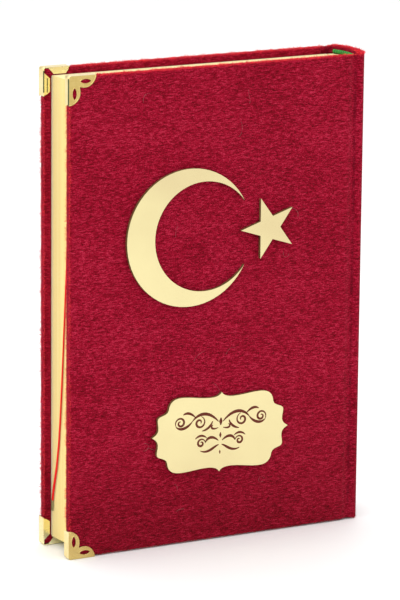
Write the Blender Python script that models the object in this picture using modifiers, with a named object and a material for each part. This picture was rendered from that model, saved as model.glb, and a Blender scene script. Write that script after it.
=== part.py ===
"""A velvet-bound prayer book standing on its tail edge.

Plan coordinates are in millimetres: x from the fore-edge of the covers to the spine, y from the
outer face of the front cover to that of the back cover, z from the standing surface to the head.
"""

import math

import bmesh
import bpy
from mathutils import Matrix, Vector

MM = 0.001

# Covers
HEIGHT = 200.0
CAP_PROUD = 0.5
CAP_THICK = 0.3
CLOTH_Z0 = CAP_PROUD
CLOTH_Z1 = HEIGHT - CAP_PROUD
CLOTH = 0.6
BOARD = 1.6
LAYER_GAP = 0.2
COVER = 2 * CLOTH + BOARD + 2 * LAYER_GAP
BOARD_END = 128.4
TURN_IN = 3.2
PASTEDOWN = 0.5
PASTEDOWN_SUNK = 0.05
EDGE_ROUND = 0.4

# Text block
SQUARE = 3.4
PAGE_Z0 = SQUARE
PAGE_Z1 = HEIGHT - SQUARE
FACE_GAP = 0.3
LEAF = 0.3
LEAF_GAP = 0.15
SECTIONS = 20
SECTION = 0.82
SECTION_GAP = 0.1
SECTION_PITCH = SECTION + SECTION_GAP
BEFORE_RIBBON = 2
RIBBON_SLOT = 0.55
FORE_SAG = 0.6

BLOCK_Y0 = COVER + FACE_GAP
SECTIONS_Y0 = BLOCK_Y0 + LEAF + LEAF_GAP
SECTIONS_Y1 = SECTIONS_Y0 + SECTIONS * SECTION_PITCH - 2 * SECTION_GAP + RIBBON_SLOT
BLOCK_Y1 = SECTIONS_Y1 + LEAF_GAP + LEAF
DEPTH = BLOCK_Y1 + FACE_GAP + COVER
MID_Y = DEPTH / 2

# Rounded spine: every layer is an arc about one centre line
SPINE_X = 139.4
SPINE_R = 26.86
SPINE_CX = SPINE_X - SPINE_R
SPINE_BOARD = 1.0
BAND_R0 = 22.2
LINING = 0.3
R_CLOTH_IN = SPINE_R - CLOTH
R_BOARD_OUT = R_CLOTH_IN - LAYER_GAP
R_BOARD_IN = R_BOARD_OUT - SPINE_BOARD
R_TURN_OUT = R_BOARD_IN - LAYER_GAP
R_TURN_IN = R_TURN_OUT - CLOTH
R_LINING_OUT = R_TURN_IN - FACE_GAP
R_LINING_IN = R_LINING_OUT - LINING
BLOCK_R = R_LINING_IN - LAYER_GAP
SPINE_TURN_DEEP = 12.0
SHOULDER_DEG = 26.4
BAND_DEG = 23.0
LINING_DEG = 22.5
SPINE_STEPS = 20

# Hinges, all with vertical axes
COVER_AXIS_X = 131.4
COVER_AXIS_OUT = 0.2
LEAF_AXIS_X = 130.9
SECTION_AXIS_X = 130.6
FOLD_HALF = 0.15
FOLD_TAPER = 2.5
FRONT_TURNING = 2
BACK_TURNING = 3

# Decorations on the front cover, 1.5 mm thick
PLAQUE_THICK = 1.5
PLAQUE_GAP = 0.3
MOON_OUTER = (53.7, 129.75, 28.73)
MOON_INNER = (60.6, 129.75, 22.84)
STAR_CENTRE = (90.8, 130.6)
STAR_R = 13.37
STAR_WAIST = 0.385
PLATE_CENTRE = (68.85, 46.35)
PLATE_TURN_DEG = -1.6

# Corner caps
CAP_LEG = 12.0
CAP_FLAP = 2.9
CAP_CORNER_GAP = 0.9
FOLD_INSET = 0.03
WRAP_SHORT = 0.25
CAP_SLOT = ((7.3, 2.35), 4.6, 1.8)

# Ribbon
RIBBON_WIDE = 1.8
RIBBON_THICK = 0.3
RIBBON_OFF_PAGES = 0.45

X_MID = (SPINE_X - CAP_PROUD) / 2
Y_MID = (DEPTH + CAP_PROUD - PLAQUE_THICK - PLAQUE_GAP) / 2


def world(x, y, z):
    return Vector(((x - X_MID) * MM, (y - Y_MID) * MM, z * MM))


def clear_scene():
    for obj in list(bpy.data.objects):
        bpy.data.objects.remove(obj, do_unlink=True)


def new_collection(name, helper=False):
    made = bpy.data.collections.new(name)
    bpy.context.scene.collection.children.link(made)
    made.hide_render = helper
    return made


clear_scene()
BOOK = new_collection("prayer_book")
CUTTERS = new_collection("cutters", helper=True)


def material(name, color, roughness, metallic=0.0, sheen=0.0):
    made = bpy.data.materials.new(name)
    made.use_nodes = True
    shader = made.node_tree.nodes["Principled BSDF"]
    shader.inputs["Base Color"].default_value = (*color, 1.0)
    shader.inputs["Roughness"].default_value = roughness
    shader.inputs["Metallic"].default_value = metallic
    shader.inputs["Sheen Weight"].default_value = sheen
    made.diffuse_color = (*color, 1.0)
    return made


VELVET = material("crimson_velvet", (0.32, 0.008, 0.03), 0.9, sheen=0.6)
CARD = material("grey_board", (0.42, 0.39, 0.34), 0.9)
PAPER = material("cream_paper", (0.86, 0.76, 0.47), 0.8)
ENDPAPER = material("cream_endpaper", (0.88, 0.83, 0.68), 0.75)
BRASS = material("stamped_brass", (0.80, 0.62, 0.25), 0.3, metallic=1.0)
MIRROR_GOLD = material("gold_mirror_acrylic", (0.87, 0.72, 0.40), 0.12, metallic=1.0)
GREEN_SILK = material("green_headband_silk", (0.03, 0.30, 0.07), 0.6, sheen=0.3)
RED_SATIN = material("red_ribbon_satin", (0.62, 0.03, 0.03), 0.4, sheen=0.3)
MULL = material("spine_mull", (0.80, 0.77, 0.68), 0.9)


def hinge(name, x, y):
    """An empty on a vertical joint axis, which carries the pieces that turn about it."""
    empty = bpy.data.objects.new(name, None)
    empty.location = world(x, y, 0.0)
    empty.empty_display_size = 0.02
    BOOK.objects.link(empty)
    return empty


def place(name, work, look, carrier=None, collection=None, smooth_deg=None):
    """Turns a bmesh in world metres into an object, carried by its hinge's empty if it has one."""
    bmesh.ops.recalc_face_normals(work, faces=work.faces)
    if carrier:
        bmesh.ops.translate(work, verts=work.verts, vec=-carrier.location)
    mesh = bpy.data.meshes.new(name)
    work.to_mesh(mesh)
    work.free()
    mesh.materials.append(look)
    obj = bpy.data.objects.new(name, mesh)
    obj.parent = carrier
    (collection or BOOK).objects.link(obj)
    if smooth_deg is not None:
        mesh.shade_smooth()
        mesh.set_sharp_from_angle(angle=math.radians(smooth_deg))
    return obj


def curve_bmesh(curve):
    """The welded mesh of a curve, whose data is then removed."""
    holder = bpy.data.objects.new("outline", curve)
    BOOK.objects.link(holder)
    bpy.context.view_layer.update()
    evaluated = holder.evaluated_get(bpy.context.evaluated_depsgraph_get())
    mesh = bpy.data.meshes.new_from_object(evaluated)
    work = bmesh.new()
    work.from_mesh(mesh)
    bmesh.ops.remove_doubles(work, verts=work.verts, dist=1e-6)
    bpy.data.objects.remove(holder)
    bpy.data.curves.remove(curve)
    bpy.data.meshes.remove(mesh)
    return work


def poly_spline(curve, points, cyclic):
    spline = curve.splines.new("POLY")
    spline.points.add(len(points) - 1)
    for knot, point in zip(spline.points, points):
        knot.co = (*point, 1.0)
    spline.use_cyclic_u = cyclic


def slab(outline, thickness):
    """A flat outline in millimetres, filled and thickened equally to both sides of its plane."""
    curve = bpy.data.curves.new("outline", "CURVE")
    curve.dimensions = "2D"
    curve.fill_mode = "BOTH"
    curve.extrude = thickness / 2 * MM
    poly_spline(curve, [(u * MM, v * MM, 0.0) for u, v in outline], cyclic=True)
    return curve_bmesh(curve)


def upright(name, outline, z0, z1, look, **options):
    """A plan outline raised from z0 to z1."""
    work = slab(outline, z1 - z0)
    bmesh.ops.translate(work, verts=work.verts, vec=world(0, 0, (z0 + z1) / 2))
    return place(name, work, look, **options)


def facing(name, outline, y0, y1, look, **options):
    """An elevation outline, in x and z, given its thickness from y0 to y1."""
    work = slab(outline, abs(y1 - y0))
    stand = Matrix.Rotation(math.radians(90), 4, "X")
    bmesh.ops.transform(work, matrix=stand, verts=work.verts)
    bmesh.ops.translate(work, verts=work.verts, vec=world(0, (y0 + y1) / 2, 0))
    return place(name, work, look, **options)


def block(name, x_span, y_span, z_span, look, **options):
    """A box between two values on each axis."""
    spans = (x_span, y_span, z_span)
    work = bmesh.new()
    bmesh.ops.create_cube(work, size=1.0)
    bmesh.ops.scale(work, verts=work.verts, vec=[abs(b - a) * MM for a, b in spans])
    bmesh.ops.translate(work, verts=work.verts, vec=world(*[(a + b) / 2 for a, b in spans]))
    return place(name, work, look, **options)


def combine(obj, other, operation):
    modifier = obj.modifiers.new(operation.lower() + "_" + other.name, "BOOLEAN")
    modifier.operation = operation
    modifier.solver = "EXACT"
    modifier.object = other
    other.display_type = "WIRE"
    other.hide_render = True


def arc(radius, from_deg, to_deg, steps):
    """Plan points on an arc about the spine's centre line; 0 degrees points to +x."""
    return [
        (
            SPINE_CX + radius * math.cos(math.radians(from_deg + (to_deg - from_deg) * i / steps)),
            MID_Y + radius * math.sin(math.radians(from_deg + (to_deg - from_deg) * i / steps)),
        )
        for i in range(steps + 1)
    ]


def arc_band(r_in, r_out, half_deg, steps):
    return arc(r_out, -half_deg, half_deg, steps) + arc(r_in, half_deg, -half_deg, steps)


def back_y(y):
    """The same depth measured from the back cover's outer face."""
    return DEPTH - y


# Covers -------------------------------------------------------------------


def joint_strip(flip):
    """The cloth from the board's edge down into the joint, in plan."""
    outline = [
        (BOARD_END - 0.4, 0.0),
        (BOARD_END + 0.5, 0.08),
        (BOARD_END + 1.2, 0.45),
        (BOARD_END + 1.9, 0.9),
        (131.2, 1.0),
        (131.2, 1.6),
        (BOARD_END + 1.6, 1.5),
        (BOARD_END + 0.8, 1.05),
        (BOARD_END + 0.2, 0.66),
        (BOARD_END - 0.4, 0.6),
    ]
    return [(x, flip(y)) for x, y in outline]


def cover_cloth(side, flip, carrier):
    """Cloth over one board: an outer face, three wrapped edges and their turn-ins, open at the joint."""
    past_end = BOARD_END + 5
    body = block(
        side + "_velvet",
        (0.0, BOARD_END),
        (flip(0.0), flip(COVER)),
        (CLOTH_Z0, CLOTH_Z1),
        VELVET,
        carrier=carrier,
    )
    soften = body.modifiers.new("soft_edges", "BEVEL")
    soften.width = EDGE_ROUND * MM
    soften.segments = 2
    pocket = block(
        side + "_board_pocket",
        (CLOTH, past_end),
        (flip(CLOTH), flip(COVER - CLOTH)),
        (CLOTH_Z0 + CLOTH, CLOTH_Z1 - CLOTH),
        VELVET,
        collection=CUTTERS,
    )
    window = block(
        side + "_turn_in_window",
        (TURN_IN, past_end),
        (flip(COVER - 2 * CLOTH), flip(COVER + 1)),
        (CLOTH_Z0 + TURN_IN, CLOTH_Z1 - TURN_IN),
        VELVET,
        collection=CUTTERS,
    )
    strip = upright(
        side + "_joint_strip", joint_strip(flip), CLOTH_Z0, CLOTH_Z1, VELVET, collection=CUTTERS
    )
    combine(body, pocket, "DIFFERENCE")
    combine(body, window, "DIFFERENCE")
    combine(body, strip, "UNION")


def cover_board(side, flip, carrier):
    inset = CLOTH + LAYER_GAP
    block(
        side + "_board",
        (inset, BOARD_END),
        (flip(inset), flip(inset + BOARD)),
        (CLOTH_Z0 + inset, CLOTH_Z1 - inset),
        CARD,
        carrier=carrier,
    )


def pastedown(side, flip, carrier):
    inset = TURN_IN + LAYER_GAP
    inner = COVER - PASTEDOWN_SUNK
    block(
        side + "_pastedown",
        (inset, BOARD_END),
        (flip(inner - PASTEDOWN), flip(inner)),
        (CLOTH_Z0 + inset, CLOTH_Z1 - inset),
        ENDPAPER,
        carrier=carrier,
    )


def cap_leaf():
    """Half of the cap's two-lobed face, from the end of one leg to the notch on the diagonal."""
    return [
        (CAP_LEG, 0.0),
        (11.85, 1.0),
        (11.3, 2.3),
        (10.4, 3.5),
        (9.2, 4.4),
        (7.8, 4.9),
        (6.4, 4.95),
        (5.2, 4.75),
    ]


def cap_face():
    lobe = cap_leaf()
    corner = [(0.0, 0.8), (0.25, 0.25), (0.8, 0.0)]
    return corner + lobe + [(4.6, 4.6)] + [(b, a) for a, b in reversed(lobe)]


def almond(centre, length, width):
    """A pointed slot along one leg of the cap."""
    points = []
    for i in range(16):
        angle = 2 * math.pi * i / 16
        along = math.cos(angle) * length / 2
        across = math.sin(angle) * abs(math.sin(angle)) ** 0.4 * width / 2
        points.append((centre[0] + along, centre[1] + across))
    return points


def cap_wrap():
    """The strip folded over the cover's edge, along one leg."""
    near, far = FOLD_INSET, FOLD_INSET + CAP_THICK
    end = CAP_LEG - WRAP_SHORT
    return [(CAP_CORNER_GAP, near), (end, near), (end, far), (CAP_CORNER_GAP, far)]


def cap_flap():
    """The mitred flap folded onto the inner face of the cover, along one leg."""
    near = 2 * FOLD_INSET
    end = CAP_LEG - 2 * WRAP_SHORT
    return [(2.0, near), (end, near), (end - 0.5, 1.5), (10.0, CAP_FLAP), (4.6, CAP_FLAP)]


def corner_cap(side, end, flip, carrier):
    """A folded brass cap: a pierced face, a wrap round each edge and two inner flaps."""
    base, sign = (HEIGHT, -1) if end == "head" else (0.0, 1)

    def plate(part, points, y0, y1, **options):
        outline = [(a - CAP_PROUD, base + sign * b) for a, b in points]
        return facing(part, outline, flip(y0), flip(y1), BRASS, **options)

    name = side + "_corner_" + end
    outside = -CAP_PROUD
    inside = COVER + CAP_PROUD
    body = plate(name, cap_face(), outside, outside + CAP_THICK, carrier=carrier)
    for turned in (False, True):
        tag = name + ("_upright" if turned else "_level")
        wrap, flap, slot = cap_wrap(), cap_flap(), almond(*CAP_SLOT)
        if turned:
            wrap, flap, slot = ([point[::-1] for point in shape] for shape in (wrap, flap, slot))
        wrap_y = (outside + FOLD_INSET, inside - FOLD_INSET)
        folded = plate(tag + "_wrap", wrap, *wrap_y, collection=CUTTERS)
        turned_in = plate(tag + "_flap", flap, inside - CAP_THICK, inside, collection=CUTTERS)
        pierced = plate(tag + "_slot", slot, outside - 1, 0.0, collection=CUTTERS)
        combine(body, folded, "UNION")
        combine(body, turned_in, "UNION")
        combine(body, pierced, "DIFFERENCE")


def cover(side, flip):
    carrier = hinge(side + "_cover_hinge", COVER_AXIS_X, flip(-COVER_AXIS_OUT))
    cover_cloth(side, flip, carrier)
    cover_board(side, flip, carrier)
    pastedown(side, flip, carrier)
    corner_cap(side, "head", flip, carrier)
    corner_cap(side, "tail", flip, carrier)
    return carrier


# Decorations --------------------------------------------------------------


def circle_point(circle, angle):
    return (circle[0] + circle[2] * math.cos(angle), circle[1] + circle[2] * math.sin(angle))


def crescent_outline(steps=56):
    """The outer circle less the inner one; both circles have their centres at one height."""
    apart = MOON_INNER[0] - MOON_OUTER[0]
    outer_r = MOON_OUTER[2]
    inner_r = MOON_INNER[2]
    reach = (outer_r**2 - inner_r**2 + apart**2) / (2 * apart)
    outer_tip = math.acos(reach / outer_r)
    inner_tip = math.acos((reach - apart) / inner_r)
    sweep = 2 * math.pi - 2 * outer_tip
    outer = [circle_point(MOON_OUTER, outer_tip + sweep * i / steps) for i in range(steps + 1)]
    back = 2 * math.pi - 2 * inner_tip
    inner = [circle_point(MOON_INNER, -inner_tip - back * i / steps) for i in range(1, steps)]
    return outer + inner


def star_outline():
    """A regular five-pointed star with one point towards the crescent."""
    points = []
    for i in range(10):
        radius = STAR_R * (STAR_WAIST if i % 2 else 1.0)
        angle = math.pi + math.pi * i / 5
        points.append(circle_point((*STAR_CENTRE, radius), angle))
    return points


def bezier(start, lead, trail, end, steps):
    """Points along a cubic curve, without its end."""
    points = []
    for i in range(steps):
        t = i / steps
        weights = ((1 - t) ** 3, 3 * t * (1 - t) ** 2, 3 * t * t * (1 - t), t**3)
        ends = (start, lead, trail, end)
        points.append(tuple(sum(w * p[k] for w, p in zip(weights, ends)) for k in (0, 1)))
    return points


def plate_outline():
    """A bracket-edged plaque from four mirrored quarters, turned slightly about its centre."""
    quarter = (
        bezier((0.0, 17.0), (0.6, 15.6), (2.6, 14.9), (5.5, 14.9), 5)
        + bezier((5.5, 14.9), (10.0, 14.9), (14.0, 16.0), (18.5, 16.0), 5)
        + bezier((18.5, 16.0), (22.5, 16.0), (24.3, 14.3), (24.6, 11.2), 6)
        + bezier((24.6, 11.2), (24.8, 9.6), (27.0, 9.2), (28.6, 8.6), 4)
        + bezier((28.6, 8.6), (30.0, 8.0), (29.6, 6.6), (29.2, 4.6), 4)
        + bezier((29.2, 4.6), (28.7, 1.8), (30.4, 0.9), (32.0, 0.0), 5)
    )
    right = quarter + [(32.0, 0.0)] + [(u, -v) for u, v in reversed(quarter)]
    whole = right + [(-u, v) for u, v in reversed(right[1:-1])]
    turn = math.radians(PLATE_TURN_DEG)
    return [
        (
            PLATE_CENTRE[0] + u * math.cos(turn) - v * math.sin(turn),
            PLATE_CENTRE[1] + u * math.sin(turn) + v * math.cos(turn),
        )
        for u, v in whole
    ]


def plaques(carrier):
    front = -PLAQUE_GAP - PLAQUE_THICK
    outlines = {
        "crescent": crescent_outline(),
        "star": star_outline(),
        "name_plate": plate_outline(),
    }
    for name, outline in outlines.items():
        facing(
            name, outline, front, -PLAQUE_GAP, MIRROR_GOLD, carrier=carrier, smooth_deg=30
        )


# Spine --------------------------------------------------------------------


def shoulder(flip):
    """The cloth from the joint over the shoulder of the spine, in plan."""
    start = arc(SPINE_R, -SHOULDER_DEG, 0, 1)[0]
    inner = arc(R_TURN_IN, -SHOULDER_DEG, 0, 1)[0]
    outline = [
        (131.5, 1.0),
        (132.4, 0.95),
        (133.3, 0.55),
        (134.3, 0.28),
        (135.4, 0.3),
        (start[0] - 0.2, start[1] - 0.55),
        start,
        inner,
        (inner[0] - 0.3, inner[1] - 0.1),
        (134.2, 1.2),
        (133.4, 1.3),
        (132.6, 1.6),
        (131.5, 1.6),
    ]
    return [(x, flip(y)) for x, y in outline]


def spine_cloth():
    body = upright(
        "spine_velvet",
        arc_band(R_TURN_IN, SPINE_R, SHOULDER_DEG, SPINE_STEPS),
        0.0,
        HEIGHT,
        VELVET,
        smooth_deg=35,
    )
    for tag, flip in (("front", lambda y: y), ("back", back_y)):
        side = upright(
            "spine_shoulder_" + tag, shoulder(flip), CLOTH_Z0, CLOTH_Z1, VELVET, collection=CUTTERS
        )
        combine(body, side, "UNION")
    pocket = upright(
        "spine_board_pocket",
        arc_band(R_TURN_OUT, R_CLOTH_IN, SHOULDER_DEG - 1.2, SPINE_STEPS),
        CLOTH,
        HEIGHT - CLOTH,
        VELVET,
        collection=CUTTERS,
    )
    window = upright(
        "spine_turn_in_window",
        arc_band(R_TURN_IN - 1, R_TURN_OUT + 0.1, SHOULDER_DEG - 1.2, SPINE_STEPS),
        SPINE_TURN_DEEP,
        HEIGHT - SPINE_TURN_DEEP,
        VELVET,
        collection=CUTTERS,
    )
    combine(body, pocket, "DIFFERENCE")
    combine(body, window, "DIFFERENCE")


def spine_pieces():
    spine_cloth()
    inset = CLOTH + LAYER_GAP
    upright(
        "spine_board",
        arc_band(R_BOARD_IN, R_BOARD_OUT, SHOULDER_DEG - 2.2, SPINE_STEPS),
        inset,
        HEIGHT - inset,
        CARD,
        smooth_deg=35,
    )
    upright(
        "spine_lining",
        arc_band(R_LINING_IN, R_LINING_OUT, LINING_DEG, SPINE_STEPS),
        SPINE_TURN_DEEP + 1,
        HEIGHT - SPINE_TURN_DEEP - 1,
        MULL,
        smooth_deg=35,
    )


def end_band(name, page_edge, outward):
    """A worked silk band along the head or tail of the block's back, round in section."""
    middle = (BAND_R0 + R_LINING_OUT) / 2
    bead = (R_LINING_OUT - BAND_R0) / 2
    z = page_edge + outward * (LAYER_GAP + bead)
    curve = bpy.data.curves.new(name, "CURVE")
    curve.dimensions = "3D"
    curve.bevel_depth = bead * MM
    curve.bevel_resolution = 1
    curve.use_fill_caps = True
    poly_spline(curve, [world(x, y, z) for x, y in arc(middle, -BAND_DEG, BAND_DEG, 12)], cyclic=False)
    place(name, curve_bmesh(curve), GREEN_SILK, smooth_deg=50)


# Text block ---------------------------------------------------------------


def fore_x(y):
    """The slightly hollow fore-edge of the block."""
    reach = (y - MID_Y) / (BLOCK_Y1 - MID_Y)
    return SQUARE + FORE_SAG * (1 - reach * reach)


def section_start(number):
    """The front face of a section, counted from 1 at the front."""
    slot = RIBBON_SLOT - SECTION_GAP if number > BEFORE_RIBBON else 0.0
    return SECTIONS_Y0 + (number - 1) * SECTION_PITCH + slot


def folded_outline(y0, x_end):
    """A sewn section with its rounded fold at the spine."""
    y1 = y0 + SECTION
    radius = SECTION / 2
    fold = [
        (x_end - radius + radius * math.cos(a), y0 + radius + radius * math.sin(a))
        for a in (-math.pi / 3, 0.0, math.pi / 3)
    ]
    ends = [(fore_x(y1), y1), (fore_x(y0), y0)]
    return ends + [(x_end - radius, y0)] + fold + [(x_end - radius, y1)]


def turning_outline(y0):
    """A section that turns: it thins towards its fold, where the leaves bend."""
    y1 = y0 + SECTION
    mid = y0 + SECTION / 2
    fold = [
        (SECTION_AXIS_X + FOLD_HALF * math.cos(a), mid + FOLD_HALF * math.sin(a))
        for a in (-math.pi / 2, 0.0, math.pi / 2)
    ]
    ends = [(fore_x(y1), y1), (fore_x(y0), y0)]
    full = SECTION_AXIS_X - FOLD_TAPER
    return ends + [(full, y0)] + fold + [(full, y1)]


def sections():
    for number in range(1, SECTIONS + 1):
        y0 = section_start(number)
        mid = y0 + SECTION / 2
        name = f"section_{number:02d}"
        if FRONT_TURNING < number <= SECTIONS - BACK_TURNING:
            x_end = SPINE_CX + math.sqrt(BLOCK_R**2 - (mid - MID_Y) ** 2)
            upright(name, folded_outline(y0, x_end), PAGE_Z0, PAGE_Z1, PAPER)
        else:
            carrier = hinge(name + "_fold", SECTION_AXIS_X, mid)
            upright(name, turning_outline(y0), PAGE_Z0, PAGE_Z1, PAPER, carrier=carrier)


def flyleaf(name, y0):
    carrier = hinge(name + "_fold", LEAF_AXIS_X, y0 + LEAF / 2)
    block(
        name,
        (SQUARE, LEAF_AXIS_X),
        (y0, y0 + LEAF),
        (PAGE_Z0, PAGE_Z1),
        ENDPAPER,
        carrier=carrier,
    )


# Ribbon -------------------------------------------------------------------


def ribbon_stations():
    """Centre points of the ribbon with the direction of its width, from the spine to its tip."""
    slot_y = section_start(BEFORE_RIBBON) + SECTION + RIBBON_SLOT / 2
    level = Vector((-0.35, 0.0, 0.94))
    out = [
        (Vector((134.2, slot_y, 190.5)), level),
        (Vector((90.0, slot_y, 174.0)), level),
        (Vector((40.0, slot_y, 155.3)), level),
        (Vector((6.0, slot_y, 142.6)), level),
        (Vector((3.4, slot_y, 141.6)), level),
        (Vector((2.3, slot_y, 140.6)), Vector((-0.62, 0.0, 0.78))),
        (Vector((1.75, slot_y, 139.0)), Vector((-0.95, 0.0, 0.30))),
        (Vector((1.75, slot_y + 0.05, 137.0)), Vector((-0.95, -0.30, 0.0))),
        (Vector((2.05, slot_y + 0.25, 134.6)), Vector((-0.62, -0.78, 0.0))),
        (Vector((2.5, slot_y + 0.6, 131.6)), Vector((-0.25, -0.97, 0.0))),
    ]
    flat = Vector((0.0, -1.0, 0.0))
    start = slot_y + 0.95
    tip_y = 21.7
    for i in range(9):
        share = i / 8
        y = start + (21.1 - start) * share
        out.append((Vector((fore_x(y) - RIBBON_OFF_PAGES, y, 128.0 - 102.0 * share)), flat))
    for y, z in ((21.5, 22.0), (tip_y, 14.8)):
        out.append((Vector((fore_x(y) - RIBBON_OFF_PAGES, y, z)), flat))
    return out


def ribbon():
    """A strip between two rails that twists as it leaves the pages, given its thickness by Solidify."""
    stations = ribbon_stations()
    work = bmesh.new()
    rungs = []
    for i, (point, wide) in enumerate(stations):
        before = stations[max(i - 1, 0)][0]
        after = stations[min(i + 1, len(stations) - 1)][0]
        along = (after - before).normalized()
        across = (wide - along * wide.dot(along)).normalized() * RIBBON_WIDE / 2
        rungs.append([work.verts.new(world(*(point + across * end))) for end in (-1, 1)])
    for first, second in zip(rungs, rungs[1:]):
        work.faces.new((first[0], first[1], second[1], second[0]))
    obj = place("ribbon_bookmark", work, RED_SATIN)
    thicken = obj.modifiers.new("thickness", "SOLIDIFY")
    thicken.thickness = RIBBON_THICK * MM
    thicken.offset = 0.0
    thicken.use_even_offset = True


front_hinge = cover("front", lambda y: y)
cover("back", back_y)
plaques(front_hinge)
spine_pieces()
end_band("headband", PAGE_Z1, 1)
end_band("tailband", PAGE_Z0, -1)
sections()
flyleaf("front_flyleaf", BLOCK_Y0)
flyleaf("back_flyleaf", BLOCK_Y1 - LEAF)
ribbon()
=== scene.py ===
"""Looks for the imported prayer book: velvet case, page leaves, brass caps, mirror ornaments, ribbon."""

import math

import bmesh
import bpy
import numpy as np
from mathutils import Matrix, Vector

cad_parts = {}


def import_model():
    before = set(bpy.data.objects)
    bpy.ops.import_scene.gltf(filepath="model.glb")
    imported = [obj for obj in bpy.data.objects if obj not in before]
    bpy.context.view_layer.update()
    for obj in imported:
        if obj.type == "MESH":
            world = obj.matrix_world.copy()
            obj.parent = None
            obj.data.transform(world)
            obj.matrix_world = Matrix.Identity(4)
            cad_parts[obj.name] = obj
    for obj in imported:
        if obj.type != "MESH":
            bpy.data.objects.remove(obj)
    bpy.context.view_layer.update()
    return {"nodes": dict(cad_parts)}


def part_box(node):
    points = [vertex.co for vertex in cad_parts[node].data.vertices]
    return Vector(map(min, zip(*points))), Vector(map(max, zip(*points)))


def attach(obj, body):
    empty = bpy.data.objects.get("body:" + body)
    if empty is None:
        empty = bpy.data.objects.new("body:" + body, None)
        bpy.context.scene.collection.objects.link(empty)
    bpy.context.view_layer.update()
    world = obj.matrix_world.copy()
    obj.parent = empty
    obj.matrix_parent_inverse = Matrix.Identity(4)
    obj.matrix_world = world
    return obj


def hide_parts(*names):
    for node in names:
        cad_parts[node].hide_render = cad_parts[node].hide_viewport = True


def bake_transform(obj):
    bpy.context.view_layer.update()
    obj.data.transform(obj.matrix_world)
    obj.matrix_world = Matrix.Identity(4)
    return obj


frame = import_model()

MM = 0.001

# Plan frame in millimetres: x from the fore-edge, y from the front cover's outer face, z up
FRONT_LO, FRONT_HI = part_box("front_velvet")
BACK_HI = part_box("back_velvet")[1]
SPINE_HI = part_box("spine_velvet")[1]
ORIGIN_X = FRONT_LO.x
ORIGIN_Y = FRONT_LO.y
DEPTH = (BACK_HI.y - ORIGIN_Y) / MM
MID_Y = DEPTH / 2
HEIGHT = SPINE_HI.z / MM
SPINE_X = (SPINE_HI.x - ORIGIN_X) / MM
CLOTH_Z0 = FRONT_LO.z / MM
CLOTH_Z1 = FRONT_HI.z / MM


def world(x, y, z):
    return Vector((ORIGIN_X + x * MM, ORIGIN_Y + y * MM, z * MM))


def plan(point):
    """Millimetres in the plan frame of a point in metres."""
    return ((point[0] - ORIGIN_X) / MM, (point[1] - ORIGIN_Y) / MM, point[2] / MM)


# Camera, lights and floor -------------------------------------------------

CAMERA_AT = (-657.6, -1329.8, 451.7)  # plan millimetres
CAMERA_TURN = (1.3126, -0.3381, -0.4092)  # rotation vector in radians
LENS_MM = 227.022
SENSOR_MM = 36.0
FLOOR_DROP = 0.0002


def camera():
    data = bpy.data.cameras.new("camera")
    data.sensor_width = SENSOR_MM
    data.lens = LENS_MM
    data.clip_start = 0.01
    data.clip_end = 20
    obj = bpy.data.objects.new("camera", data)
    turn = Vector(CAMERA_TURN)
    spin = Matrix.Rotation(turn.length, 4, turn.normalized())
    obj.matrix_world = Matrix.Translation(world(*CAMERA_AT)) @ spin
    bpy.context.scene.collection.objects.link(obj)
    bpy.context.scene.camera = obj


def area_light(name, at, aim, size, power, color=(1, 1, 1)):
    data = bpy.data.lights.new(name, "AREA")
    data.shape = "RECTANGLE"
    data.size, data.size_y = size
    data.energy = power
    data.color = color
    obj = bpy.data.objects.new(name, data)
    obj.location = at
    obj.rotation_mode = "QUATERNION"
    obj.rotation_quaternion = (Vector(aim) - Vector(at)).to_track_quat("-Z", "Y")
    bpy.context.scene.collection.objects.link(obj)
    return obj


def studio():
    surroundings = bpy.data.worlds.new("studio")
    surroundings.use_nodes = True
    tree = surroundings.node_tree
    background = tree.nodes["Background"]
    background.inputs["Color"].default_value = (1.0, 1.0, 0.99, 1.0)
    background.inputs["Strength"].default_value = 1.0
    bpy.context.scene.world = surroundings
    bpy.context.scene.view_settings.view_transform = "Standard"
    area_light("key", (-0.55, -0.95, 0.95), (0.0, 0.0, 0.1), (0.7, 0.7), 4.5)
    area_light("fill", (0.9, -0.9, 0.6), (0.0, 0.0, 0.1), (0.9, 0.9), 1.0)
    area_light("top", (0.0, 0.15, 1.1), (0.0, 0.0, 0.1), (1.0, 1.0), 3.0)
    area_light("side", (-1.1, 0.1, 0.45), (0.0, 0.0, 0.1), (0.6, 0.9), 2.0)


def floor():
    work = bmesh.new()
    bmesh.ops.create_grid(work, x_segments=8, y_segments=8, size=6.0)
    mesh = bpy.data.meshes.new("floor")
    work.to_mesh(mesh)
    work.free()
    obj = bpy.data.objects.new("floor", mesh)
    obj.location.z = -FLOOR_DROP
    made = bpy.data.materials.new("pale_floor")
    made.use_nodes = True
    shader = made.node_tree.nodes["Principled BSDF"]
    shader.inputs["Base Color"].default_value = (0.955, 0.965, 0.965, 1)
    shader.inputs["Roughness"].default_value = 0.6
    mesh.materials.append(made)
    bpy.context.scene.collection.objects.link(obj)


# Materials ----------------------------------------------------------------


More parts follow.
